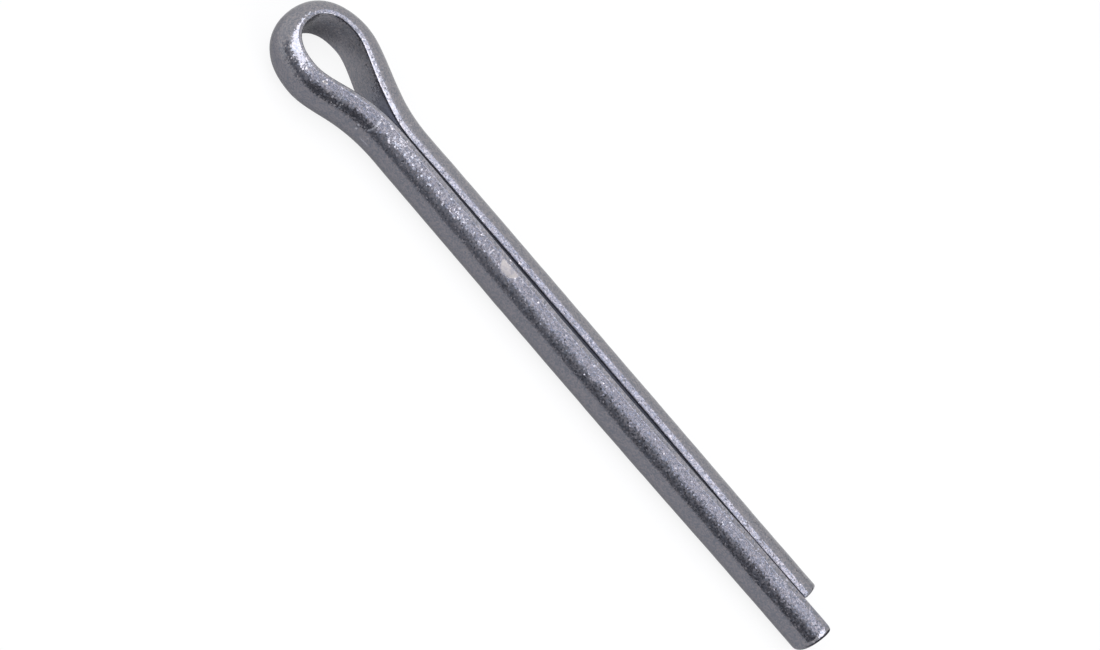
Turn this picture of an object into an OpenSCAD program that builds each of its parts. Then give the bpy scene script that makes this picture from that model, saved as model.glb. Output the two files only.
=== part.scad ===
// Cotter pin: one half-round wire folded on itself into an eye and two legs of unequal length.
// The pin lies on its side: X runs from the eye to the tips, Y toward the short leg and Z up.
// The origin is on the shank's axis at the eye's foot, where the two legs close on each other.

/* [Shank] */
// Diameter over the two closed legs
pin_d = 5.9; // [4.5:0.1:8]
// Slit between the flats of the legs
slit = 0.24; // [0.1:0.02:0.5]
// Length of the short leg, from the eye's foot to its tip
short_leg = 60.7; // [20:0.1:120]
// How far the long leg's tip stands past the short leg's
overhang = 4.1; // [1:0.1:10]

/* [Wire] */
// How far the two sides next to the flat are pressed flat, off the round bar
side_trim = 0.11; // [0.03:0.01:0.15]
// Rounding of the flat's two long edges
edge_r = 0.2; // [0.1:0.05:0.4]

/* [Tips] */
// Rounding of the short leg's tip round its outside
short_tip_r = 0.3; // [0.1:0.05:1.2]
// Rounding of the long leg's tip round its outside, rolled over where the wire was sheared
long_tip_r = 0.8; // [0.1:0.05:1.2]
// Rounding where a tip meets the flat
inner_tip_r = 0.3; // [0.1:0.05:1]

/* [Eye] */
// Inside width of the eye at its widest place
eye_w = 6; // [5:0.1:9]
// Length of a flank, from the foot to the eye's widest place
flank_l = 12; // [10:0.1:18]
// Length of the bend inside, from the widest place to the far end
bend_l = 3.8; // [2.8:0.1:6]
// Thickness of the wire at the far end, where the bend has drawn it thin
end_t = 2.15; // [1.6:0.05:2.8]
// How late the wire starts to thin on its way round the eye
thin_late = 1.75; // [1:0.05:2.5]
// How much thicker the short leg's flank is than an even bend, and the long leg's thinner
flank_bias = 0.17; // [0:0.01:0.3]
// How far the eye sits off the shank's axis, toward the short leg
eye_shift = 0.25; // [-0.5:0.05:0.5]

/* [Curves] */
// Length over which the flats swing apart at the foot
foot_ease = 6.6; // [4:0.1:7.2]
// Length over which a flank levels out before the widest place
flank_ease = 2.6; // [1:0.1:2.8]
// Length over which the bend sets in after the widest place
shoulder_ease = 1.65; // [0.8:0.05:2.4]
// Half of the width over which the far end runs square to the axis
end_ease = 2.45; // [1.6:0.05:2.5]

/* [Hidden] */
pin_r = pin_d / 2;
// Thickness of a leg, and half the width of its flat side
leg_t = pin_r - slit / 2;
side_z = pin_r - side_trim;
// Height over the flat at which the pressed side meets the round of the wire
side_h = sqrt(pin_r * pin_r - side_z * side_z) - slit / 2;
flat_r = min(edge_r, side_h);
// The eye's wire is this much slimmer all round than a leg, so that its ends lie inside the legs
seam = 0.01;
// How far the eye's wire reaches into each leg
lap = 1;
// Steps round the eye and round the wire
flank_steps = 24;
bend_steps = 18;
round_steps = 18;
edge_steps = 3;
zinc = [0.62, 0.64, 0.67];

// Rises from 0 to 1 with level ends
function ease(u) = u * u * (3 - 2 * u);

// Point at t on the cubic curve from a to d with the handles b and c
function curve(a, b, c, d, t) =
    pow(1 - t, 3) * a + 3 * pow(1 - t, 2) * t * b + 3 * (1 - t) * t * t * c + t * t * t * d;

// The flat's line on the short leg's side, from inside the leg round to the far end
function half_line() =
    let (
        foot = [0, slit / 2],
        wide = [-flank_l, eye_w / 2],
        far = [-flank_l - bend_l, 0]
    )
    concat(
        [foot + [lap, 0]],
        [for (i = [0 : flank_steps])
            curve(foot, foot - [foot_ease, 0], wide + [flank_ease, 0], wide, i / flank_steps)],
        [for (i = [1 : bend_steps])
            curve(wide, wide - [shoulder_ease, 0], far + [0, end_ease], far, i / bend_steps)]
    );

// The flat's whole line, out along the short leg's side and back along the long leg's
function eye_line(half) =
    concat(half, [for (i = [len(half) - 2 : -1 : 0]) [half[i][0], -half[i][1]]]);

// Distance along a line at each of its points
function distances(line, i = 0, so_far = 0) =
    i == len(line) ? [] :
    let (here = so_far + (i > 0 ? norm(line[i] - line[i - 1]) : 0))
    concat([here], distances(line, i + 1, here));

// Outline of a leg's section, as the height over the flat and the place across it
function section() =
    let (
        start = acos(side_z / pin_r),
        edge = [for (i = [0 : edge_steps])
            [flat_r * (1 - cos(90 * i / edge_steps)), side_z - flat_r * (1 - sin(90 * i / edge_steps))]],
        round_side = [for (i = [0 : round_steps])
            let (a = start + (180 - 2 * start) * i / round_steps)
            [pin_r * sin(a) - slit / 2, pin_r * cos(a)]]
    )
    concat(edge, round_side, [for (i = [edge_steps : -1 : 0]) [edge[i][0], -edge[i][1]]]);

// The section laid across the flat's line at a point, its round side out, t thick
function ring(at, heading, t) =
    let (out = [heading[1], -heading[0]] / norm(heading))
    [for (p = section())
        let (place = at + out * (seam + (t - 2 * seam) * p[0] / leg_t))
        [place[0], place[1], p[1] * (1 - seam / side_z)]];

module eye() {
    line = eye_line(half_line());
    along = distances(line);
    last = len(line) - 1;
    // How far each point is on the way from a foot, at 0, to the far end, at 1
    way = [for (s = along) max(0, 1 - abs(2 * s - along[last]) / (along[last] - 2 * lap))];
    rings = [for (i = [0 : last])
        let (
            side = 2 * i < last ? 1 : -1,
            heading = line[min(i + 1, last)] - line[max(i - 1, 0)],
            t = leg_t + (end_t - leg_t) * ease(pow(way[i], thin_late))
                + side * flank_bias * pow(sin(180 * way[i]), 2),
            shift = [0, eye_shift * ease(min(1, max(0, -line[i][0] / flank_l)))]
        )
        ring(line[i] + shift, heading, t)];
    count = len(rings[0]);
    walls = [for (i = [0 : last - 1], j = [0 : count - 1])
        let (a = i * count + j, b = i * count + (j + 1) % count)
        each [[a, b + count, b], [a, a + count, b + count]]];
    caps = [
        [for (j = [0 : count - 1]) j],
        [for (j = [count - 1 : -1 : 0]) last * count + j]
    ];
    polyhedron([for (r = rings) each r], concat(walls, caps));
}

// One leg on the +Y side of the slit: a round bar with a rounded tip, cut to its flat
module leg(length, tip_r) {
    intersection() {
        rotate([0, 90, 0]) rotate_extrude($fn = 96) bar_profile(length, tip_r);
        rotate([90, 0, 90]) linear_extrude(length + 1) leg_end_view();
        translate([0, 0, -pin_r]) linear_extrude(pin_d) leg_top_view(length);
    }
}

// Half of the bar's outline from its axis out, with the tip rounded
module bar_profile(length, tip_r) {
    square([pin_r, length - tip_r]);
    square([pin_r - tip_r, length]);
    translate([pin_r - tip_r, length - tip_r]) circle(tip_r, $fn = 32);
}

// All that lies on the leg's side of the slit, with the flat's long edges rounded
module leg_end_view() {
    translate([slit / 2, flat_r - side_z]) square([pin_d, 2 * (side_z - flat_r)]);
    translate([slit / 2 + flat_r, -side_z]) square([pin_d, 2 * side_z]);
    for (side = [-1, 1])
        translate([slit / 2 + flat_r, side * (side_z - flat_r)]) circle(flat_r, $fn = 32);
}

// All that lies on the leg's side of the slit, rounded where the tip meets the flat
module leg_top_view(length) {
    translate([0, slit / 2]) square([length - inner_tip_r, pin_d]);
    translate([0, slit / 2 + inner_tip_r]) square([length, pin_d]);
    translate([length - inner_tip_r, slit / 2 + inner_tip_r]) circle(inner_tip_r, $fn = 32);
}

module pin() {
    color(zinc) {
        eye();
        leg(short_leg, short_tip_r);
        mirror([0, 1, 0]) leg(short_leg + overhang, long_tip_r);
    }
}

pin();
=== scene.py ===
"""A zinc-plated cotter pin of folded half-round wire, lying on a pale studio floor.

Sizes are in millimetres in the classes and become metres when a mesh or a light is made.
The frame is the part's own: X runs from the eye to the tips, Y toward the short leg, Z up.
"""

import logging
import math
from dataclasses import dataclass, field
from enum import Enum

import bpy
import numpy as np
from mathutils import Matrix


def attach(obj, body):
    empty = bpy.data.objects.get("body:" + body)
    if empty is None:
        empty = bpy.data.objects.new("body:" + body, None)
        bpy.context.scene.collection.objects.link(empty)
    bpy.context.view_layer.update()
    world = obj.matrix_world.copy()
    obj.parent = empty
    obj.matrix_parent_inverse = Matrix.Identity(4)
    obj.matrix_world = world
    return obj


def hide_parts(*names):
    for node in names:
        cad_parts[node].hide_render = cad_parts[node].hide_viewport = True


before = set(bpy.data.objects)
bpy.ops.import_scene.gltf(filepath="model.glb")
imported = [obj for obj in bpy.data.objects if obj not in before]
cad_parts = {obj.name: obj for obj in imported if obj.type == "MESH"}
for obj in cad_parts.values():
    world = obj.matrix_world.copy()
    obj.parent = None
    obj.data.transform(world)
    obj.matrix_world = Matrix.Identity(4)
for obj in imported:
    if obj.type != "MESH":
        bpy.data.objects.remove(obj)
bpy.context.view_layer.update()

MM = 0.001
log = logging.getLogger("cotter_pin")


# ---------------------------------------------------------------- helpers

def linear(hex_colour: str) -> tuple[float, float, float, float]:
    """Turns an sRGB hex colour into linear RGBA.

    Args:
        hex_colour: Six hex digits, such as "8c8b90".

    Returns:
        Red, green, blue and an alpha of 1.
    """
    shares = [int(hex_colour[i:i + 2], 16) / 255 for i in (0, 2, 4)]
    red, green, blue = (s / 12.92 if s <= 0.04045 else ((s + 0.055) / 1.055) ** 2.4 for s in shares)
    return red, green, blue, 1.0


def ease(u: np.ndarray) -> np.ndarray:
    """Rises from 0 to 1 with level ends, as u squared times 3 minus 2u, held outside 0 to 1."""
    u = np.clip(u, 0.0, 1.0)
    return u * u * (3 - 2 * u)


@dataclass(frozen=True)
class Ramp:
    """A change by rise that eases in from start to end, which may also lie before start.

    Both are places along the pin in mm, or angles in degrees.
    """

    start: float
    end: float
    rise: float = 1.0

    def at(self, x: np.ndarray) -> np.ndarray:
        """How much of the change is reached at each place x."""
        return self.rise * ease((x - self.start) / (self.end - self.start))


def cubic(a: np.ndarray, b: np.ndarray, c: np.ndarray, d: np.ndarray, t: np.ndarray) -> np.ndarray:
    """Points of the cubic Bezier curve from a to d with the handles b and c, at each t from 0 to 1."""
    t = t[:, None]
    return (1 - t) ** 3 * a + 3 * (1 - t) ** 2 * t * b + 3 * (1 - t) * t ** 2 * c + t ** 3 * d


def unit(v: np.ndarray) -> np.ndarray:
    """Vectors along the last axis, each brought to length 1."""
    return v / np.maximum(np.linalg.norm(v, axis=-1, keepdims=True), 1e-12)


def add_node(tree: bpy.types.NodeTree, kind: str, settings: dict | None = None,
             inputs: dict | None = None) -> bpy.types.Node:
    """Adds a node with its settings and its links.

    Args:
        tree: The tree that gets the node.
        kind: The node's type name.
        settings: Properties to set on the node.
        inputs: For each input's name or number, a value or the output socket that feeds it.

    Returns:
        The new node.
    """
    node = tree.nodes.new(kind)
    for name, value in (settings or {}).items():
        setattr(node, name, value)
    for name, value in (inputs or {}).items():
        if isinstance(value, bpy.types.NodeSocket):
            tree.links.new(value, node.inputs[name])
        else:
            node.inputs[name].default_value = value
    return node


def new_material(name: str) -> tuple[bpy.types.Material, bpy.types.NodeTree, bpy.types.Node]:
    """Makes a material, and returns it with its node tree and its one node, the output."""
    material = bpy.data.materials.new(name)
    material.use_nodes = True
    material.node_tree.nodes.clear()
    output = add_node(material.node_tree, "ShaderNodeOutputMaterial")
    return material, material.node_tree, output


def mesh_object(name: str, points: np.ndarray, faces: list,
                material: bpy.types.Material) -> bpy.types.Object:
    """Makes a smooth-shaded mesh object at the origin.

    Args:
        name: The object's name.
        points: Vertex places in metres, one row each.
        faces: Tuples of vertex numbers, seen anticlockwise from outside.
        material: The finish.

    Returns:
        The object, linked to the scene.
    """
    mesh = bpy.data.meshes.new(name)
    mesh.from_pydata(points.tolist(), [], faces)
    mesh.polygons.foreach_set("use_smooth", np.ones(len(mesh.polygons), bool))
    mesh.materials.append(material)
    mesh.update()
    piece = bpy.data.objects.new(name, mesh)
    bpy.context.scene.collection.objects.link(piece)
    return piece


# ---------------------------------------------------------------- finishes

@dataclass(frozen=True)
class ZincPlate:
    """Clear-passivated zinc plating, barrel-plated on drawn low-carbon steel wire.

    The zinc grows as fine crystals, each lying at its own small tilt and a few of them well
    out of level. Where the surroundings change from bright to dark the metal sparkles and its
    reflections have ragged edges, and where they are even it looks plain grey. Where pins rub
    in the barrel it is burnished, and deep in the slit it stays dull. Real crystals are about
    0.02 mm across, too fine to show, so they are drawn as coarse as they need to show.
    """

    name: str = "Zinc-plated steel"
    pale_grain: str = "979397"
    dark_grain: str = "7a7d86"
    burnished: str = "aca6a2"
    dull: str = "a3a8b8"
    # Sizes of the crystals and of the patches in which they grew alike
    grain_mm: float = 0.16
    patch_mm: float = 0.5
    patch_detail: float = 2.0
    patch_contrast: float = 0.6
    # Where it is rubbed, how much of a patch it takes to shine in full, and the least it shines
    shining_patches: tuple[float, float] = (0.38, 0.52)
    shining_least: float = 0.45
    # Tilts, as the length of a vector added to the normal: the steeper, the rarer
    level_tilt: float = 0.13
    steep_tilt: float = 0.42
    steep_rarity: float = 6.0
    patch_tilt: float = 0.06
    roughness_level: float = 0.12
    roughness_open: float = 0.27
    roughness_rubbed: float = 0.3
    edge_tint: float = 0.8

    def material(self) -> bpy.types.Material:
        """Builds the plating's material from its crystals, their patches and the rubbed places.

        Returns:
            The material.
        """
        material, tree, output = new_material(self.name)
        place = add_node(tree, "ShaderNodeTexCoord").outputs["Object"]
        crystals = add_node(tree, "ShaderNodeTexVoronoi", {}, {
            "Vector": place, "Scale": 1 / (self.grain_mm * MM)})
        draw = add_node(tree, "ShaderNodeTexWhiteNoise", {}, {"Vector": crystals.outputs["Position"]})
        lot = add_node(tree, "ShaderNodeSeparateColor", {}, {"Color": draw.outputs["Color"]})
        patches = add_node(tree, "ShaderNodeTexNoise", {}, {
            "Vector": place, "Scale": 1 / (self.patch_mm * MM), "Detail": self.patch_detail,
            "Roughness": self.patch_contrast})
        rubbed, levelled, dull = (
            add_node(tree, "ShaderNodeAttribute", {"attribute_name": name}).outputs["Fac"]
            for name in ("rubbed", "levelled", "dull"))
        # Roughness: each crystal scatters more or less, and rubbed places in between
        grain_rough = add_node(tree, "ShaderNodeMapRange", {}, {
            "Value": lot.outputs["Blue"], "To Min": self.roughness_level, "To Max": self.roughness_open})
        rough = add_node(tree, "ShaderNodeMix", {"data_type": "FLOAT"}, {
            "Factor": rubbed, "A": grain_rough.outputs["Result"], "B": self.roughness_rubbed})
        # Colour: each crystal's own grey, and the patches show through where it is burnished
        tone = add_node(tree, "ShaderNodeMix", {"data_type": "RGBA"}, {
            "Factor": lot.outputs["Green"], "A": linear(self.dark_grain), "B": linear(self.pale_grain)})
        shining = add_node(tree, "ShaderNodeMapRange", {}, {
            "Value": patches.outputs["Fac"], "From Min": self.shining_patches[0],
            "From Max": self.shining_patches[1], "To Min": self.shining_least})
        shine = add_node(tree, "ShaderNodeMath", {"operation": "MULTIPLY"}, {
            0: rubbed, 1: shining.outputs["Result"]})
        shone = add_node(tree, "ShaderNodeMix", {"data_type": "RGBA"}, {
            "Factor": shine.outputs[0], "A": tone.outputs["Result"], "B": linear(self.burnished)})
        colour = add_node(tree, "ShaderNodeMix", {"data_type": "RGBA"}, {
            "Factor": dull, "A": shone.outputs["Result"], "B": linear(self.dull)})
        metal = add_node(tree, "ShaderNodeMath", {"operation": "SUBTRACT"}, {0: 1.0, 1: dull})
        # Tilt: the surface's normal plus a small vector for the crystal and one for its patch,
        # each the smaller the more the surface is levelled
        steep = add_node(tree, "ShaderNodeMath", {"operation": "POWER"}, {
            0: lot.outputs["Red"], 1: self.steep_rarity})
        tilt = add_node(tree, "ShaderNodeMapRange", {}, {
            "Value": steep.outputs[0], "To Min": self.level_tilt, "To Max": self.steep_tilt})
        uneven = add_node(tree, "ShaderNodeMath", {"operation": "SUBTRACT"}, {
            0: 1.0, 1: levelled}).outputs[0]
        tilt = add_node(tree, "ShaderNodeMath", {"operation": "MULTIPLY"}, {
            0: tilt.outputs["Result"], 1: uneven})
        drift = add_node(tree, "ShaderNodeMath", {"operation": "MULTIPLY"}, {
            0: self.patch_tilt, 1: uneven})
        facing = add_node(tree, "ShaderNodeNewGeometry").outputs["Normal"]
        for source, amount in ((crystals.outputs["Color"], tilt.outputs[0]),
                               (patches.outputs["Color"], drift.outputs[0])):
            offset = add_node(tree, "ShaderNodeVectorMath", {"operation": "SUBTRACT"}, {
                0: source, 1: (0.5, 0.5, 0.5)})
            scaled = add_node(tree, "ShaderNodeVectorMath", {"operation": "SCALE"}, {
                0: offset.outputs[0], "Scale": amount})
            facing = add_node(tree, "ShaderNodeVectorMath", {"operation": "ADD"}, {
                0: facing, 1: scaled.outputs[0]}).outputs[0]
        facing = add_node(tree, "ShaderNodeVectorMath", {"operation": "NORMALIZE"}, {0: facing})
        shader = add_node(tree, "ShaderNodeBsdfPrincipled", {}, {
            "Base Color": colour.outputs["Result"], "Metallic": metal.outputs[0],
            "Roughness": rough.outputs["Result"],
            "Specular Tint": (self.edge_tint, self.edge_tint, self.edge_tint, 1.0),
            "Normal": facing.outputs[0]})
        tree.links.new(shader.outputs[0], output.inputs["Surface"])
        return material


@dataclass(frozen=True)
class PaleFloor:
    """Matt white studio board.

    The camera sees it mostly plain white, with the pin's shadow faint on it. In the metal it
    shows painted shade: greyer on the tent's dark side, which takes less light, and white behind
    the pin and beyond its eye. The painted shade is darkest past the tips, though not on the long
    leg's side, and inside the eye, where it is a painted shadow of the pin. Each pair of numbers
    is where such a change starts and ends, in mm.
    """

    name: str = "Matt white board"
    board: str = "f4f4f4"
    # Painted shade: the grey that the board shows in the metal
    painted_shade_grey: str = "bebebe"
    white_share: float = 0.85
    white_share_in_metal: float = 0.2
    # Where the painted shade in the metal gives way to white: behind the pin along Y, beyond the eye along X
    behind_mm: tuple[float, float] = (-4.0, 11.0)
    beyond_mm: tuple[float, float] = (-18.0, -30.0)
    # Painted shade past the tips, and a painted shadow of the pin inside the eye, both seen only in the
    # metal
    past_tips_mm: tuple[float, float] = (66.5, 70.0)
    past_tips_side_mm: tuple[float, float] = (-8.0, -3.0)
    in_eye_mm: tuple[float, float, float] = (-14.0, 1.2, -2.85)
    in_eye_r_mm: tuple[float, float] = (3.2, 0.5)
    in_eye_share: float = 0.7
    # Colour of that painted shade and painted shadow
    dark: str = "46474c"

    def material(self) -> bpy.types.Material:
        """Builds the board: matt white that takes the shadow, mixed with plain white, and greyed with
        painted shade where the metal shows it.

        Returns:
            The material.
        """
        material, tree, output = new_material(self.name)
        path = add_node(tree, "ShaderNodeLightPath")
        in_metal = add_node(tree, "ShaderNodeMath", {"operation": "MAXIMUM"}, {
            0: path.outputs["Is Glossy Ray"], 1: path.outputs["Is Transmission Ray"]})
        place = add_node(tree, "ShaderNodeTexCoord").outputs["Object"]
        axes = add_node(tree, "ShaderNodeSeparateXYZ", {}, {0: place})
        # Painted shade in the metal: past the tips, away from the long leg's side, and a painted shadow of
        # the pin inside the eye
        off_side = add_node(tree, "ShaderNodeMapRange", {"interpolation_type": "SMOOTHSTEP"}, {
            "Value": axes.outputs["Y"], "From Min": self.past_tips_side_mm[0] * MM,
            "From Max": self.past_tips_side_mm[1] * MM}).outputs["Result"]
        past_tips = add_node(tree, "ShaderNodeMapRange", {"interpolation_type": "SMOOTHSTEP"}, {
            "Value": axes.outputs["X"], "From Min": self.past_tips_mm[0] * MM,
            "From Max": self.past_tips_mm[1] * MM, "To Max": off_side}).outputs["Result"]
        from_eye = add_node(tree, "ShaderNodeVectorMath", {"operation": "DISTANCE"}, {
            0: place, 1: tuple(v * MM for v in self.in_eye_mm)}).outputs["Value"]
        in_eye = add_node(tree, "ShaderNodeMapRange", {"interpolation_type": "SMOOTHSTEP"}, {
            "Value": from_eye, "From Min": self.in_eye_r_mm[0] * MM,
            "From Max": self.in_eye_r_mm[1] * MM, "To Max": self.in_eye_share}).outputs["Result"]
        unlit = add_node(tree, "ShaderNodeMath", {"operation": "MAXIMUM"}, {
            0: past_tips, 1: in_eye}).outputs[0]
        # The board's painted shade in the metal, darkest where unlit
        grey = add_node(tree, "ShaderNodeMix", {"data_type": "RGBA"}, {
            "Factor": unlit, "A": linear(self.painted_shade_grey), "B": linear(self.dark)})
        board = add_node(tree, "ShaderNodeMix", {"data_type": "RGBA"}, {
            "Factor": in_metal.outputs[0], "A": linear(self.board), "B": grey.outputs["Result"]})
        matt = add_node(tree, "ShaderNodeBsdfDiffuse", {}, {"Color": board.outputs["Result"]})
        white = add_node(tree, "ShaderNodeEmission", {}, {"Color": (1, 1, 1, 1), "Strength": 1.0})
        to_camera = add_node(tree, "ShaderNodeMath", {"operation": "MULTIPLY"}, {
            0: path.outputs["Is Camera Ray"], 1: self.white_share})
        # Painted shade in the metal: only a little white on the near side, rising to all white behind the
        # pin and beyond its eye
        behind, beyond = (
            add_node(tree, "ShaderNodeMapRange", {"interpolation_type": "SMOOTHSTEP"}, {
                "Value": axes.outputs[axis], "From Min": start * MM, "From Max": end * MM,
                "To Min": self.white_share_in_metal, "To Max": 1.0}).outputs["Result"]
            for axis, (start, end) in (("Y", self.behind_mm), ("X", self.beyond_mm)))
        shaded = add_node(tree, "ShaderNodeMath", {"operation": "MAXIMUM"}, {0: behind, 1: beyond})
        this_side = add_node(tree, "ShaderNodeMath", {"operation": "SUBTRACT"}, {
            0: in_metal.outputs[0], 1: unlit})
        this_side.use_clamp = True
        share = add_node(tree, "ShaderNodeMath", {"operation": "MULTIPLY_ADD"}, {
            0: this_side.outputs[0], 1: shaded.outputs[0], 2: to_camera.outputs[0]})
        both = add_node(tree, "ShaderNodeMixShader", {}, {
            0: share.outputs[0], 1: matt.outputs[0], 2: white.outputs[0]})
        tree.links.new(both.outputs[0], output.inputs["Surface"])
        material.cycles.emission_sampling = "NONE"
        return material


@dataclass(frozen=True)
class TentCloth:
    """Studio cloth that shows white or grey as its points' level says, a little cool where grey."""

    name: str = "Studio cloth"
    grey_tint: tuple[float, float, float] = (0.93, 0.98, 1.14)

    def material(self) -> bpy.types.Material:
        """Builds the cloth's plain material.

        Returns:
            The material.
        """
        material, tree, output = new_material(self.name)
        level = add_node(tree, "ShaderNodeAttribute", {"attribute_name": "level"}).outputs["Fac"]
        tint = add_node(tree, "ShaderNodeMix", {"data_type": "RGBA"}, {
            "Factor": level, "A": (*self.grey_tint, 1.0), "B": (1, 1, 1, 1)})
        cloth = add_node(tree, "ShaderNodeEmission", {}, {
            "Color": tint.outputs["Result"], "Strength": level})
        tree.links.new(cloth.outputs[0], output.inputs["Surface"])
        material.cycles.emission_sampling = "NONE"
        return material


# ---------------------------------------------------------------- the pin

class Stretch(Enum):
    """The three stretches of the wire, in their order along it."""

    SHORT_LEG = 0
    EYE = 1
    LONG_LEG = 2


class MarkKind(Enum):
    """What a mark does to the surface."""

    DENT = "oval dent"
    NICK = "narrow cut, bowed toward the tips"
    RUB = "burnished half-oval, straight where its lean is least"


# How crisp the outline of each kind of mark is, along the wire and round it
CRISPNESS = {MarkKind.DENT: (1.6, 1.6), MarkKind.NICK: (1.5, 3.0), MarkKind.RUB: (3.5, 5.0)}


@dataclass(frozen=True)
class Mark:
    """One mark of handling on the long leg's half of the wire.

    x is its place along the pin in mm and lean how far round the wire it lies from straight
    up, in degrees. length runs along the wire and width round it, also in mm, and a nick's
    middle lies bow nearer to the tips than its ends. rubbed and scoured say how burnished and
    how dull its middle is.
    """

    kind: MarkKind
    x: float
    lean: float
    length: float
    width: float
    depth: float
    bow: float = 0.0
    rubbed: float = 1.0
    scoured: float = 0.0

    def share(self, x: np.ndarray, lean: np.ndarray, radius: float) -> np.ndarray:
        """How much of the mark each place has: 1 in its middle, down to 0 at its outline.

        The outline is an oval, for a rub cut straight along its middle line. A nick is as deep
        all along its length.

        Args:
            x: Places along the pin.
            lean: Places round the wire, in radians.
            radius: The wire's radius.

        Returns:
            The shares.
        """
        u = (lean - math.radians(self.lean)) * radius / (self.width / 2)
        v = (x - self.x - self.bow * (1 - u ** 2)) / (self.length / 2)
        along, across = CRISPNESS[self.kind]
        if self.kind is MarkKind.NICK:
            return ease(along * (1 - v ** 2)) * ease(across * (1 - u ** 2))
        if self.kind is MarkKind.RUB:
            return ease(along * (1 - v ** 2 - (u / 2) ** 2)) * ease(across * u + 0.5)
        return ease(along * (1 - u ** 2 - v ** 2))


# One rub on the long leg, a nick across the neck, a dent in the eye, and pits and a scratch
# low on the neck
MARKS = (
    Mark(MarkKind.RUB, 15.95, 17.0, 2.55, 1.15, 0.01, rubbed=0.9),
    Mark(MarkKind.NICK, -3.75, 38.5, 0.2, 2.1, 0.025, bow=0.28, rubbed=0.8, scoured=0.4),
    Mark(MarkKind.DENT, -10.0, 23.5, 0.6, 0.42, 0.04),
    Mark(MarkKind.DENT, -4.7, 61.0, 0.28, 0.3, 0.04, scoured=0.5),
    Mark(MarkKind.DENT, -4.6, 70.5, 0.28, 0.3, 0.04, scoured=0.5),
    Mark(MarkKind.DENT, -3.1, 68.5, 0.26, 0.28, 0.03, rubbed=0.6, scoured=0.3),
    Mark(MarkKind.DENT, -3.1, 82.5, 1.7, 0.18, 0.01, rubbed=0.4, scoured=0.3),
)


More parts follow.
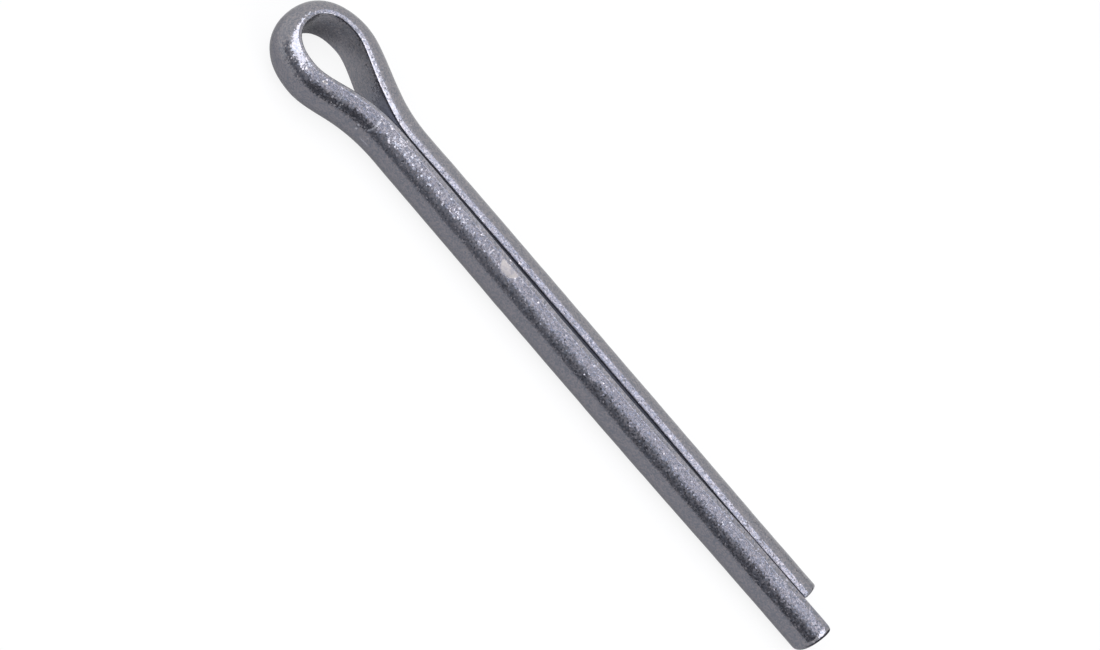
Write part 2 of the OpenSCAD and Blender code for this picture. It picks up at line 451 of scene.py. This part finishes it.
@dataclass
class FoldedWire:
    """The whole pin: half-round wire folded on its flat into an eye and two unequal legs."""

    # Sizes of the pin, with the section set in by inset to leave room for the waves
    pin_r: float = 2.95
    slit: float = 0.24
    short_leg: float = 60.6
    overhang: float = 4.2
    inset: float = 0.015
    # Pressed sides: less wide and leaning more in the eye, and less wide where the legs close up
    side_w: float = 0.9
    side_lean: float = 4.0
    eye_side_w: float = 0.7
    eye_side_lean: float = 9.0
    to_eye: Ramp = Ramp(0.5, -3.5)
    side_less: float = 0.1
    narrow_foot: tuple[Ramp, Ramp] = (Ramp(-4, 0), Ramp(12, 6))
    narrow_tip: Ramp = Ramp(42, 52)
    shoulder_r: float = 0.3
    # Edges beside the flat: sharper where the legs close up
    edge_r: float = 0.18
    edge_less: float = 0.5
    sharp_foot: tuple[Ramp, Ramp] = (Ramp(-5, -1), Ramp(16, 8))
    sharp_short_tip: Ramp = Ramp(38, 50)
    sharp_long_tip: Ramp = Ramp(46, 52)
    # Tips
    short_tip_r: float = 0.22
    long_tip_r: float = 0.8
    inner_tip_r: float = 0.3
    end_crown: float = 0.1
    skew: float = 0.28
    skew_l: float = 3.0
    skew_lean: float = 31.0
    # Line of the flat round the eye, and the wire's thickness there
    eye_w: float = 6.0
    flank_l: float = 12.0
    bend_l: float = 3.8
    foot_ease: float = 6.6
    flank_ease: float = 2.6
    shoulder_ease: float = 1.65
    end_ease: float = 2.45
    end_t: float = 2.15
    thin_late: float = 1.75
    flank_bias: float = 0.17
    # Low crown across the inside of the eye: its rise, how deep it reaches and its half width
    eye_crown: Ramp = Ramp(0, -7.2, 0.15)
    crown_reach: float = 0.8
    crown_half_w: float = 2.8
    # How far the eye and each leg stand off to +Y
    eye_stand: Ramp = Ramp(1.5, -8.5, 0.25)
    long_bow: float = -0.11
    long_foot_stand: Ramp = Ramp(0, 4, 0.03)
    long_closes: Ramp = Ramp(31, 58)
    long_tip_stand: float = 0.17
    short_bow: float = 0.015
    short_stand: tuple[Ramp, ...] = (Ramp(0, 4, 0.035), Ramp(30, 45, 0.02), Ramp(51, 60, 0.06))
    # How far the long leg's flat is cut in, and the short leg's roll in degrees
    from_eye: Ramp = Ramp(-6, -1)
    long_cut: float = 0.07
    long_cut_tip: Ramp = Ramp(46, 54, -0.02)
    short_roll: float = -2.7
    short_roll_ends: tuple[Ramp, Ramp] = (Ramp(32, 0, -1.9), Ramp(34, 46, -1.8))
    # Waviness of the drawn wire
    wave_h: float = 0.005
    wave_l: tuple[float, float] = (1.0, 4.0)
    wave_count: int = 18
    wave_seed: int = 3543
    # Plating: the side that is rolled level, by its lean in degrees and its place, and the flats
    rolled_lean: Ramp = Ramp(56, 60, 0.75)
    rolled_from: Ramp = Ramp(-12.5, -11)
    rubbed_level: float = 0.6
    dull_flat: Ramp = Ramp(-8, -2, 0.8)
    # Fineness of the mesh: steps in mm, and numbers of points
    leg_step: float = 0.3
    mark_step: float = 0.08
    mark_margin: float = 0.2
    mark_gap: float = 0.1
    tip_l: float = 1.0
    before_tip_steps: int = 4
    tip_steps: int = 8
    short_flank_steps: int = 60
    long_flank_steps: int = 160
    bend_steps: int = 32
    flat_points: int = 14
    edge_points: int = 6
    side_points: int = 4
    shoulder_points: int = 6
    round_points: int = 80
    cap_rings: tuple[float, ...] = (0.9, 0.65, 0.35)
    marks: tuple[Mark, ...] = MARKS
    finish: ZincPlate = field(default_factory=ZincPlate)

    @property
    def leg_t(self) -> float:
        """Thickness of a leg from its flat to the top of its round side."""
        return self.pin_r - self.slit / 2

    def leg_places(self, length: float, tip_r: float) -> np.ndarray:
        """Places of a leg's sections: even along it, and closer together at marks and round its tip.

        Args:
            length: The leg's length.
            tip_r: Radius of its tip's rounding.

        Returns:
            X of each section, from the eye's foot out.
        """
        body = np.arange(self.leg_step, length - self.tip_l, self.leg_step)
        for mark in self.marks if length > self.short_leg else ():
            if 0 < mark.x < length - self.tip_l:
                half = mark.length / 2 + self.mark_margin
                fine = np.arange(mark.x - half, mark.x + half, self.mark_step)
                clear = np.abs(body - mark.x) > half + self.mark_gap
                body = np.sort(np.concatenate([body[clear], fine]))
        angles = np.linspace(0, math.pi / 2, self.tip_steps + 1)
        tip = length - self.end_crown - tip_r + tip_r * np.sin(angles)
        between = np.linspace(body[-1], tip[0], self.before_tip_steps + 1)[1:-1]
        return np.concatenate([body, between, tip])

    def flat_line(self) -> tuple[np.ndarray, np.ndarray]:
        """The line of the wire's flat from above, from the short tip round the eye to the long tip.

        The legs are straight. Each flank and each half of the bend is a cubic curve, and the
        long leg's half is the short leg's mirrored.

        Returns:
            One row of x and y for each section, and each section's stretch as a number.
        """
        foot = np.array([0.0, self.slit / 2])
        wide = np.array([-self.flank_l, self.eye_w / 2])
        far = np.array([-self.flank_l - self.bend_l, 0.0])
        short_flank, long_flank = (
            cubic(foot, foot - [self.foot_ease, 0], wide + [self.flank_ease, 0], wide,
                  np.linspace(0, 1, steps + 1))
            for steps in (self.short_flank_steps, self.long_flank_steps))
        bend = cubic(wide, wide - [self.shoulder_ease, 0], far + [0, self.end_ease], far,
                     np.linspace(0, 1, self.bend_steps + 1))
        eye = np.vstack([short_flank, bend[1:], bend[-2::-1] * [1, -1], long_flank[-2::-1] * [1, -1]])
        x_short = self.leg_places(self.short_leg, self.short_tip_r)[::-1]
        x_long = self.leg_places(self.short_leg + self.overhang, self.long_tip_r)
        line = np.vstack([
            np.column_stack([x_short, np.full_like(x_short, self.slit / 2)]),
            eye,
            np.column_stack([x_long, np.full_like(x_long, -self.slit / 2)])])
        stretch = np.repeat([s.value for s in Stretch], [len(x_short), len(eye), len(x_long)])
        return line, stretch

    def thickness(self, line: np.ndarray, stretch: np.ndarray) -> np.ndarray:
        """Thickness of the wire at each section.

        A leg's on the legs. Round the eye it eases down to end_t at the far end, late on the
        way, plus a swell of flank_bias on the short leg's flank and as deep a hollow on the
        long leg's, both as the square of a sine.

        Args:
            line: The flat's line.
            stretch: Each section's stretch.

        Returns:
            One thickness for each section.
        """
        eye = stretch == Stretch.EYE.value
        steps = np.linalg.norm(np.diff(line[eye], axis=0), axis=1)
        along = np.concatenate([[0.0], np.cumsum(steps)])
        way = np.zeros(len(line))
        way[eye] = 1 - np.abs(2 * along - along[-1]) / along[-1]
        side = np.where(line[:, 1] > 0, 1.0, -1.0)
        thinning = (self.end_t - self.leg_t) * ease(way ** self.thin_late)
        return self.leg_t + thinning + side * self.flank_bias * np.sin(math.pi * way) ** 2

    def sway(self, line: np.ndarray, stretch: np.ndarray) -> np.ndarray:
        """How far each section stands off to +Y: the legs bow apart and close again at the tips.

        Args:
            line: The flat's line.
            stretch: Each section's stretch.

        Returns:
            One shift for each section: half a sine wave and a few ramps on each leg, plus the eye's.
        """
        x = line[:, 0]
        bow = np.sin(math.pi * np.clip(x / self.short_leg, 0, 1))
        closed = self.long_closes.at(x)
        long_leg = (self.long_bow * bow + self.long_foot_stand.at(x) * (1 - closed)
                    + self.long_tip_stand * closed)
        short_leg = self.short_bow * bow + sum(ramp.at(x) for ramp in self.short_stand)
        return np.select([stretch == Stretch.SHORT_LEG.value, stretch == Stretch.LONG_LEG.value],
                         [short_leg, long_leg], 0.0) + self.eye_stand.at(x)

    def tip_profile(self, line: np.ndarray, stretch: np.ndarray) -> tuple[np.ndarray, np.ndarray]:
        """Radius of the round side and set-back of the flat, both rounded in an arc at the tips.

        Args:
            line: The flat's line.
            stretch: Each section's stretch.

        Returns:
            The radius and the set-back.
        """
        radius = np.full(len(line), self.pin_r)
        set_back = np.zeros(len(line))
        lengths = {Stretch.SHORT_LEG: (self.short_leg, self.short_tip_r),
                   Stretch.LONG_LEG: (self.short_leg + self.overhang, self.long_tip_r)}
        for leg, (length, tip_r) in lengths.items():
            on_leg = stretch == leg.value
            x = line[on_leg, 0] - (length - self.end_crown)
            past = np.clip(x + tip_r, 0, tip_r)
            radius[on_leg] -= tip_r - np.sqrt(tip_r ** 2 - past ** 2)
            past = np.clip(x + self.inner_tip_r, 0, self.inner_tip_r)
            set_back[on_leg] = self.inner_tip_r - np.sqrt(self.inner_tip_r ** 2 - past ** 2)
        return radius, set_back

    def section(self, line: np.ndarray, radius: np.ndarray,
                set_back: np.ndarray) -> tuple[np.ndarray, np.ndarray]:
        """Outline of the wire's section at every place along it.

        A circle about the pin's axis, cut by the flat. Beside the flat each side is pressed
        plane and leans in. An arc of shoulder_r joins it to the circle and an arc at the edge to
        the flat, each tangent to both, so that only the direction of the normal has to be followed
        round. It runs from one edge over the round side to the other edge and back across the flat.

        Args:
            line: The flat's line.
            radius: Radius of the round side, one for each section.
            set_back: How far the flat is set back, one for each section.

        Returns:
            Height over the flat's line, and place across it toward +Z, a row for each section.
        """
        radius, set_back = radius[:, None], set_back[:, None]
        in_eye = self.to_eye.at(line[:, :1])
        lean = np.radians(self.side_lean + (self.eye_side_lean - self.side_lean) * in_eye)
        side_w, edge_r = self.sides_and_edges(line, in_eye)
        start = np.arcsin(side_w / radius)
        # Shoulder: the normal turns from the pressed side's to the circle's
        shoulder_h = (radius - self.shoulder_r) * np.sin(start)
        shoulder_z = (radius - self.shoulder_r) * np.cos(start)
        turn = -lean + (start + lean) * np.linspace(0, 1, self.shoulder_points)[None, :]
        shoulder = (shoulder_h + self.shoulder_r * np.sin(turn), shoulder_z + self.shoulder_r * np.cos(turn))
        # Edge: its arc touches the pressed side's line, which stands off the axis by reach
        reach = (radius - self.shoulder_r) * np.cos(start + lean) + self.shoulder_r
        edge_h = self.slit / 2 + set_back + edge_r
        edge_z = (reach - edge_r + edge_h * np.sin(lean)) / np.cos(lean)
        turn = -math.pi / 2 + (math.pi / 2 - lean) * np.linspace(0, 1, self.edge_points)[None, :]
        edge = (edge_h + edge_r * np.sin(turn), edge_z + edge_r * np.cos(turn))
        share = np.linspace(0, 1, self.side_points + 2)[None, 1:-1]
        side = [e[:, -1:] * (1 - share) + b[:, :1] * share for e, b in zip(edge, shoulder)]
        turn = start + (math.pi - 2 * start) * np.linspace(0, 1, self.round_points + 2)[None, 1:-1]
        arch = (radius * np.sin(turn), radius * np.cos(turn))
        flat_z = edge_z * np.linspace(-1, 1, self.flat_points + 2)[None, 1:-1]
        half_h = np.concatenate([edge[0], side[0], shoulder[0]], axis=1)
        half_z = np.concatenate([edge[1], side[1], shoulder[1]], axis=1)
        from_axis = np.concatenate([half_h, arch[0], half_h[:, ::-1], edge[0][:, :1] + 0 * flat_z], axis=1)
        across = np.concatenate([half_z, arch[1], -half_z[:, ::-1], flat_z], axis=1)
        # The wire is as wide in the eye as in the legs
        across *= math.sqrt(1 - (self.side_w / self.pin_r) ** 2) / np.cos(start)
        return from_axis - self.slit / 2, across

    def sides_and_edges(self, line: np.ndarray, in_eye: np.ndarray) -> tuple[np.ndarray, np.ndarray]:
        """Width of the pressed sides and radius of the edges, both less where the legs close up.

        The short leg closes up at its foot and at its tip, and the long leg at its tip.

        Args:
            line: The flat's line.
            in_eye: How far each section has the eye's shape, 0 to 1.

        Returns:
            The width and the radius, a row for each section.
        """
        x, on_short = line[:, :1], line[:, 1:] > 0
        narrow, sharp = (
            np.maximum(rises.at(x) * falls.at(x), tip.at(x))
            for (rises, falls), tip in ((self.narrow_foot, self.narrow_tip),
                                        (self.sharp_foot, self.sharp_short_tip)))
        width = self.side_w + (self.eye_side_w - self.side_w) * in_eye - self.side_less * narrow * on_short
        sharp = np.where(on_short, sharp, self.sharp_long_tip.at(x))
        return width, self.edge_r * (1 - self.edge_less * sharp)

    def off_centre(self, line: np.ndarray) -> tuple[np.ndarray, np.ndarray]:
        """How the half-round's section sits a little off true along the wire.

        Args:
            line: The flat's line.

        Returns:
            How far the flat is cut in from the middle of the slit, and the angle in radians by
            which the section is rolled toward the slit at its upper side.
        """
        x = line[:, 0]
        on_long = line[:, 1] < 0
        cut = np.where(on_long, self.long_cut + self.long_cut_tip.at(x), 0.0)
        roll = self.short_roll + sum(ramp.at(x) for ramp in self.short_roll_ends)
        roll = np.where(on_long, 0.0, np.radians(roll))
        return cut * self.from_eye.at(x), roll * self.from_eye.at(x)

    def surface(self) -> tuple[np.ndarray, np.ndarray, np.ndarray]:
        """The wire's outside as a grid: sections laid along the flat's line, their round side out.

        Returns:
            The grid's points in mm, how far each lies round the wire from straight up in
            radians, and the flat's line.
        """
        line, stretch = self.flat_line()
        heading = np.gradient(line, axis=0)
        heading[stretch == Stretch.SHORT_LEG.value] = [-1.0, 0.0]
        heading[stretch == Stretch.LONG_LEG.value] = [1.0, 0.0]
        heading = unit(heading)
        radius, set_back = self.tip_profile(line, stretch)
        cut, roll = self.off_centre(line)
        height, width = self.section(line, radius - self.inset, set_back + cut)
        lean = np.arctan2(height + self.slit / 2, width)
        # The bend squeezes the inside of the eye into a low crown across the wire
        crown = self.eye_crown.at(line[:, :1]) * (stretch == Stretch.EYE.value)[:, None]
        near_flat = np.clip(1 - height / self.crown_reach, 0, 1) ** 2
        height = height - crown * near_flat * (1 - np.clip(width / self.crown_half_w, -1, 1) ** 2)
        # Roll about the pin's axis, from which the section's heights are slit / 2 short
        above = height + self.slit / 2
        height = above * np.cos(roll)[:, None] + width * np.sin(roll)[:, None] - self.slit / 2
        width = width * np.cos(roll)[:, None] - above * np.sin(roll)[:, None]
        height = height * (self.thickness(line, stretch) / self.leg_t)[:, None]
        centre_y = line[:, 1] + self.sway(line, stretch)
        x = line[:, :1] + heading[:, 1:] * height
        # The long tip is cut a little out of square, shorter toward its underside
        end = self.short_leg + self.overhang
        under = 1 - np.cos(np.clip(lean - math.radians(self.skew_lean), 0, math.pi / 2))
        at_end = Ramp(end - self.skew_l, end, self.skew).at(line[:, :1]) * (line[:, 1:] < 0)
        x = x - under * at_end
        y = centre_y[:, None] - heading[:, :1] * height
        return np.stack([x, y, width], axis=-1), lean, line

    def waves(self, grid: np.ndarray) -> np.ndarray:
        """Slight waviness of drawn and bent wire: plane waves in even random directions.

        Args:
            grid: The surface's points.

        Returns:
            The height of the sum of the waves at each point.
        """
        draw = np.random.default_rng(self.wave_seed)
        lengths = np.geomspace(*self.wave_l, self.wave_count)
        ways = unit(draw.normal(size=(self.wave_count, 3))) * 2 * math.pi / lengths[:, None]
        starts = draw.uniform(0, 2 * math.pi, self.wave_count)
        heights = lengths / np.linalg.norm(lengths) * math.sqrt(2) * self.wave_h
        return (np.sin(grid @ ways.T + starts) * heights).sum(axis=-1)

    def normals(self, grid: np.ndarray) -> np.ndarray:
        """Outward normals of the grid: the cross product of its differences along and round the wire."""
        along = np.gradient(grid, axis=0)
        around = np.roll(grid, -1, axis=1) - np.roll(grid, 1, axis=1)
        normal = unit(np.cross(around, along))
        out = grid - grid.mean(axis=1, keepdims=True)
        return normal if (normal * out).sum() > 0 else -normal

    def wear(self, x: np.ndarray, lean: np.ndarray,
             on_long: np.ndarray) -> tuple[np.ndarray, np.ndarray, np.ndarray]:
        """What the marks of handling do at each point of the grid.

        Args:
            x: Each point's place along the pin.
            lean: How far round the wire it lies, in radians.
            on_long: Whether it is on the long leg's half.

        Returns:
            How rubbed and how scoured it is, from 0 to 1, and how deep it is dented in mm.
        """
        rubbed, scoured, dent = np.zeros((3, *x.shape))
        for mark in self.marks:
            share = mark.share(x, lean, self.pin_r) * on_long
            rubbed = np.maximum(rubbed, share * mark.rubbed)
            scoured = np.maximum(scoured, share * mark.scoured)
            dent = dent + share * mark.depth
        return rubbed, scoured, dent

    def skin(self, grid: np.ndarray) -> tuple[np.ndarray, list]:
        """Joins the grid's points round the wire and closes both ends.

        An end has rings that shrink toward a pole and are crowned toward the middle, standing
        out by end_crown times 1 minus the square of their share of the rim's size.

        Args:
            grid: The surface's points.

        Returns:
            All points, the grid's first, and the faces.
        """
        rows, columns = grid.shape[:2]
        points = grid.reshape(-1, 3)
        a = np.arange(rows - 1)[:, None] * columns + np.arange(columns)[None, :]
        b = np.roll(a, -1, axis=1)
        faces = np.stack([a, b, b + columns, a + columns], axis=-1).reshape(-1, 4).tolist()
        for row in (0, rows - 1):
            rim = grid[row]
            pole = rim.mean(axis=0)
            ring = row * columns + np.arange(columns)
            for share in self.cap_rings:
                inner = pole + (rim - pole) * share
                inner[:, 0] = rim[:, 0] + self.end_crown * (1 - share ** 2)
                new = len(points) + np.arange(columns)
                points = np.vstack([points, inner])
                around = np.stack([ring, np.roll(ring, -1), np.roll(new, -1), new], axis=-1)
                faces += (around if row else around[:, ::-1]).tolist()
                ring = new
            pole[0] = rim[0, 0] + self.end_crown
            points = np.vstack([points, pole])
            around = np.stack([ring, np.roll(ring, -1), np.full(columns, len(points) - 1)], axis=-1)
            faces += (around if row else around[:, ::-1]).tolist()
        return points, faces

    def build(self) -> bpy.types.Object:
        """Makes the pin's mesh and material and puts it in the CAD solid's place.

        Returns:
            The finished piece.
        """
        grid, lean, line = self.surface()
        x = line[:, :1]
        rubbed, scoured, dent = self.wear(grid[..., 0], lean, line[:, 1:] < 0)
        grid = grid - self.normals(grid) * (dent - self.waves(grid))[..., None]
        # Levelled: the rubbed marks, and the sides on which the pins roll over each other
        rolled = self.rolled_lean.at(np.degrees(lean)) * self.rolled_from.at(x)
        levelled = np.maximum(self.rubbed_level * rubbed, rolled)
        # Dull: the flats, where they face each other across the slit, and the scoured marks
        on_flat = np.arange(lean.shape[1]) >= lean.shape[1] - self.flat_points
        dull = np.maximum(self.dull_flat.at(x) * (x < self.short_leg) * on_flat, scoured)
        points, faces = self.skin(grid)
        piece = mesh_object("folded_wire", points * MM, faces, self.finish.material())
        for name, values in (("rubbed", rubbed), ("levelled", levelled), ("dull", dull)):
            padded = np.zeros(len(points), np.float32)
            padded[:values.size] = values.ravel()
            piece.data.attributes.new(name, "FLOAT", "POINT").data.foreach_set("value", padded)
        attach(piece, "root")
        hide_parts("pin")
        log.info("%s: %d faces", piece.name, len(piece.data.polygons))
        return piece


# ---------------------------------------------------------------- studio

@dataclass(frozen=True)
class Shade:
    """A grey panel on the tent, in the degrees that Softbox uses.

    from_y to to_y and from_x to to_x are where it is half grey, soft_y and soft_x how far its
    edges fade, and level how bright it is.
    """

    from_y: float
    to_y: float
    from_x: float
    to_x: float
    soft_y: float
    soft_x: float
    level: float

    def share(self, toward_y: np.ndarray, toward_x: np.ndarray) -> np.ndarray:
        """How much of the panel there is in each direction, from 0 to 1."""
        share_y = (ease((toward_y - self.from_y) / self.soft_y + 0.5)
                   * ease((self.to_y - toward_y) / self.soft_y + 0.5))
        share_x = (ease((toward_x - self.from_x) / self.soft_x + 0.5)
                   * ease((self.to_x - toward_x) / self.soft_x + 0.5))
        return share_y * share_x


@dataclass(frozen=True)
class Softbox:
    """A soft light seen from the pin in one direction.

    toward_y is the tilt from straight up toward +Y and toward_x the tilt toward the tips, in
    degrees. high and wide are its extents in degrees along those two, and radiance how bright
    its face is against a white of 1. Its distance is in metres.
    """

    name: str
    toward_y: float
    toward_x: float
    high: float
    wide: float
    radiance: float
    tint: tuple[float, float, float] = (1.0, 1.0, 1.0)
    distance: float = 0.7


def direction(toward_y: float | np.ndarray, toward_x: float | np.ndarray) -> np.ndarray:
    """Unit vectors tilted from straight up by toward_y about X, then leaned to +X by toward_x."""
    y, x = np.radians(toward_y), np.radians(toward_x)
    return np.stack([np.sin(x), np.cos(x) * np.sin(y), np.cos(x) * np.cos(y)], axis=-1)


def placed(x: np.ndarray, y: np.ndarray, z: np.ndarray, place: np.ndarray) -> Matrix:
    """Transform with its three axes along the given unit vectors, at a place in metres."""
    return Matrix([*np.column_stack([x, y, z, place]).tolist(), [0, 0, 0, 1]])


@dataclass
class Studio:
    """Floor, light tent, lights, surroundings and camera.

    floor_r and tent_r are in metres, and the camera's angles in degrees. tent_y and tent_x are
    the tent's first and last degree, as in Softbox, and its number of points.
    """

    floor_z: float = -2.85
    floor_r: float = 3.0
    floor_sides: int = 96
    middle_x: float = 23.0
    tent_r: float = 2.8
    tent_y: tuple[int, int, int] = (-90, 90, 91)
    tent_x: tuple[int, int, int] = (-64, 88, 77)
    sky_fill: float = 0.25
    boxes: tuple[Softbox, ...] = (
        Softbox("key", -8, -28, 72, 36, 3.1, (0.98, 0.99, 1.05)),
        Softbox("fill", -18, 50, 26, 56, 3.1, (0.98, 0.99, 1.05), 0.3),
        Softbox("tube_1", -38.5, 6.5, 5, 18, 1.5, (0.9, 0.96, 1.18)),
        Softbox("tube_2", -29, 6.5, 4, 18, 1.8, (1.0, 0.97, 1.05)),
        Softbox("tube_3", -20, 6.5, 4, 18, 2.0, (0.9, 0.96, 1.18)),
        Softbox("tube_4", -11, 6.5, 4, 18, 1.6, (1.0, 0.97, 1.05)),
        Softbox("tube_5", -1, 6.5, 4, 18, 1.45, (0.9, 0.96, 1.18)),
        Softbox("tube_6", 9, 5, 4, 18, 2.4, (0.93, 0.96, 1.14)),
        Softbox("tube_7", 18, 5, 4, 18, 2.6, (0.93, 0.96, 1.14)),
        Softbox("tube_8", 27, 5, 4, 18, 2.4, (0.93, 0.96, 1.14)),
        Softbox("strip", 10, -4.5, 14, 7, 2.1, (0.98, 0.99, 1.05)),
        Softbox("strip_end", 15, 14.75, 20, 7.0, 2.1, (1.0, 0.99, 1.01), 0.3),
        Softbox("back", 48, -1, 12, 20, 0.6, (0.98, 0.98, 1.06)),
    )
    shades: tuple[Shade, ...] = (
        Shade(-95, -60, -58, 36, 28, 6, 0.26),  # low on the long leg's side
        Shade(-95, -47, 7, 36, 12, 5, 0.13),  # the same, darker toward the tips
        Shade(-62, -34, -30, 1, 8, 3, 0.48),  # over that, toward the eye
        Shade(-52, 33, -4.5, 15, 8, 4, 0.5),  # between the tubes
        Shade(-52, 33, 15, 34, 8, 4, 0.7),  # beside the tubes, toward the tips
        Shade(-120, 120, 80, 120, 8, 8, 0.15),  # low past the tips
    )
    camera_from_up: float = 31.051
    camera_turn: float = 2.913
    camera_roll: float = 49.36
    camera_distance: float = 377.64
    camera_x: float = 22.974
    camera_drop: float = 0.172
    lens: float = 122.9
    sensor: float = 36.0
    clip_m: tuple[float, float] = (0.01, 20.0)

    def build(self) -> None:
        """Makes everything round the pin."""
        self.make_floor()
        self.make_tent()
        self.make_surroundings()
        for box in self.boxes:
            self.make_light(box)
        self.make_camera()

    def make_floor(self) -> None:
        """Lays a round floor under the pin."""
        angles = np.linspace(0, 2 * math.pi, self.floor_sides, endpoint=False)
        rim = np.column_stack([self.floor_r * np.cos(angles), self.floor_r * np.sin(angles),
                               np.full(self.floor_sides, self.floor_z * MM)])
        floor = mesh_object("floor", rim, [tuple(range(self.floor_sides))], PaleFloor().material())
        log.info("floor laid at %.2f mm", self.floor_z)

    def make_tent(self) -> None:
        """Hangs the tent's grey panels over the pin, unseen by the camera.

        The tent is part of a sphere about the pin's middle. Its level is 1, the white
        of the surroundings, brought down to each panel's level by the panel's share.
        """
        toward_y, toward_x = np.meshgrid(np.linspace(*self.tent_y), np.linspace(*self.tent_x), indexing="ij")
        level = np.ones_like(toward_y)
        for shade in self.shades:
            level = level + (np.minimum(level, shade.level) - level) * shade.share(toward_y, toward_x)
        points = direction(toward_y, toward_x).reshape(-1, 3) * self.tent_r + [self.middle_x * MM, 0, 0]
        rows, columns = toward_y.shape
        a = (np.arange(rows - 1)[:, None] * columns + np.arange(columns - 1)[None, :]).reshape(-1)
        faces = np.stack([a, a + columns, a + columns + 1, a + 1], axis=-1).tolist()
        tent = mesh_object("tent", points, faces, TentCloth().material())
        tent.data.attributes.new("level", "FLOAT", "POINT").data.foreach_set(
            "value", level.ravel().astype(np.float32))
        tent.visible_camera = False
        tent.visible_shadow = False
        tent.visible_diffuse = False
        log.info("tent hung with %d grey panels", len(self.shades))

    def make_surroundings(self) -> None:
        """Sets the world: white where it is seen, a plain fill where it only lights."""
        world = bpy.data.worlds.new("Studio")
        world.use_nodes = True
        tree = world.node_tree
        tree.nodes.clear()
        path = add_node(tree, "ShaderNodeLightPath")
        in_metal = add_node(tree, "ShaderNodeMath", {"operation": "MAXIMUM"}, {
            0: path.outputs["Is Glossy Ray"], 1: path.outputs["Is Transmission Ray"]})
        seen = add_node(tree, "ShaderNodeMath", {"operation": "MAXIMUM"}, {
            0: path.outputs["Is Camera Ray"], 1: in_metal.outputs[0]})
        strength = add_node(tree, "ShaderNodeMapRange", {}, {
            "Value": seen.outputs[0], "To Min": self.sky_fill, "To Max": 1.0})
        sky = add_node(tree, "ShaderNodeBackground", {}, {
            "Color": (1, 1, 1, 1), "Strength": strength.outputs["Result"]})
        output = add_node(tree, "ShaderNodeOutputWorld", {}, {"Surface": sky.outputs[0]})
        output.is_active_output = True
        bpy.context.scene.world = world

    def make_light(self, box: Softbox) -> None:
        """Hangs a softbox facing the pin's middle."""
        toward = direction(box.toward_y, box.toward_x)
        light = bpy.data.lights.new(box.name, "AREA")
        light.shape = "RECTANGLE"
        light.size = 2 * box.distance * math.tan(math.radians(box.wide / 2))
        light.size_y = 2 * box.distance * math.tan(math.radians(box.high / 2))
        light.color = box.tint
        light.energy = box.radiance * math.pi * light.size * light.size_y
        lamp = bpy.data.objects.new(box.name, light)
        bpy.context.scene.collection.objects.link(lamp)
        across = unit(np.cross(np.array([0.0, 1.0, 0.0]), toward))
        up = np.cross(toward, across)
        place = np.array([self.middle_x * MM, 0, 0]) + toward * box.distance
        lamp.matrix_world = placed(across, up, toward, place)
        log.info("%s hung", box.name)

    def make_camera(self) -> None:
        """Sets up the camera above the long leg's side, rolled so that the pin lies diagonally."""
        tilt, turn, roll = np.radians([self.camera_from_up, self.camera_turn, self.camera_roll])
        sideways = np.array([0, -np.sin(tilt), np.cos(tilt)])
        along = np.array([np.cos(turn), 0, 0]) + np.sin(turn) * sideways
        across = np.array([0, np.cos(tilt), np.sin(tilt)])
        back = np.array([-np.sin(turn), 0, 0]) + np.cos(turn) * sideways
        right = np.cos(roll) * along + np.sin(roll) * across
        up = np.cos(roll) * across - np.sin(roll) * along
        place = np.array([self.camera_x, 0, 0]) - self.camera_drop * across + self.camera_distance * back
        data = bpy.data.cameras.new("camera")
        data.lens, data.sensor_width = self.lens, self.sensor
        data.clip_start, data.clip_end = self.clip_m
        camera = bpy.data.objects.new("camera", data)
        bpy.context.scene.collection.objects.link(camera)
        camera.matrix_world = placed(right, up, back, place * MM)
        bpy.context.scene.camera = camera


def main() -> None:
    """Builds the pin and the studio round it."""
    logging.basicConfig(level=logging.INFO, format="%(name)s: %(message)s")
    bpy.context.scene.view_settings.view_transform = "Standard"
    FoldedWire().build()
    Studio().build()


if __name__ == "__main__":
    main()
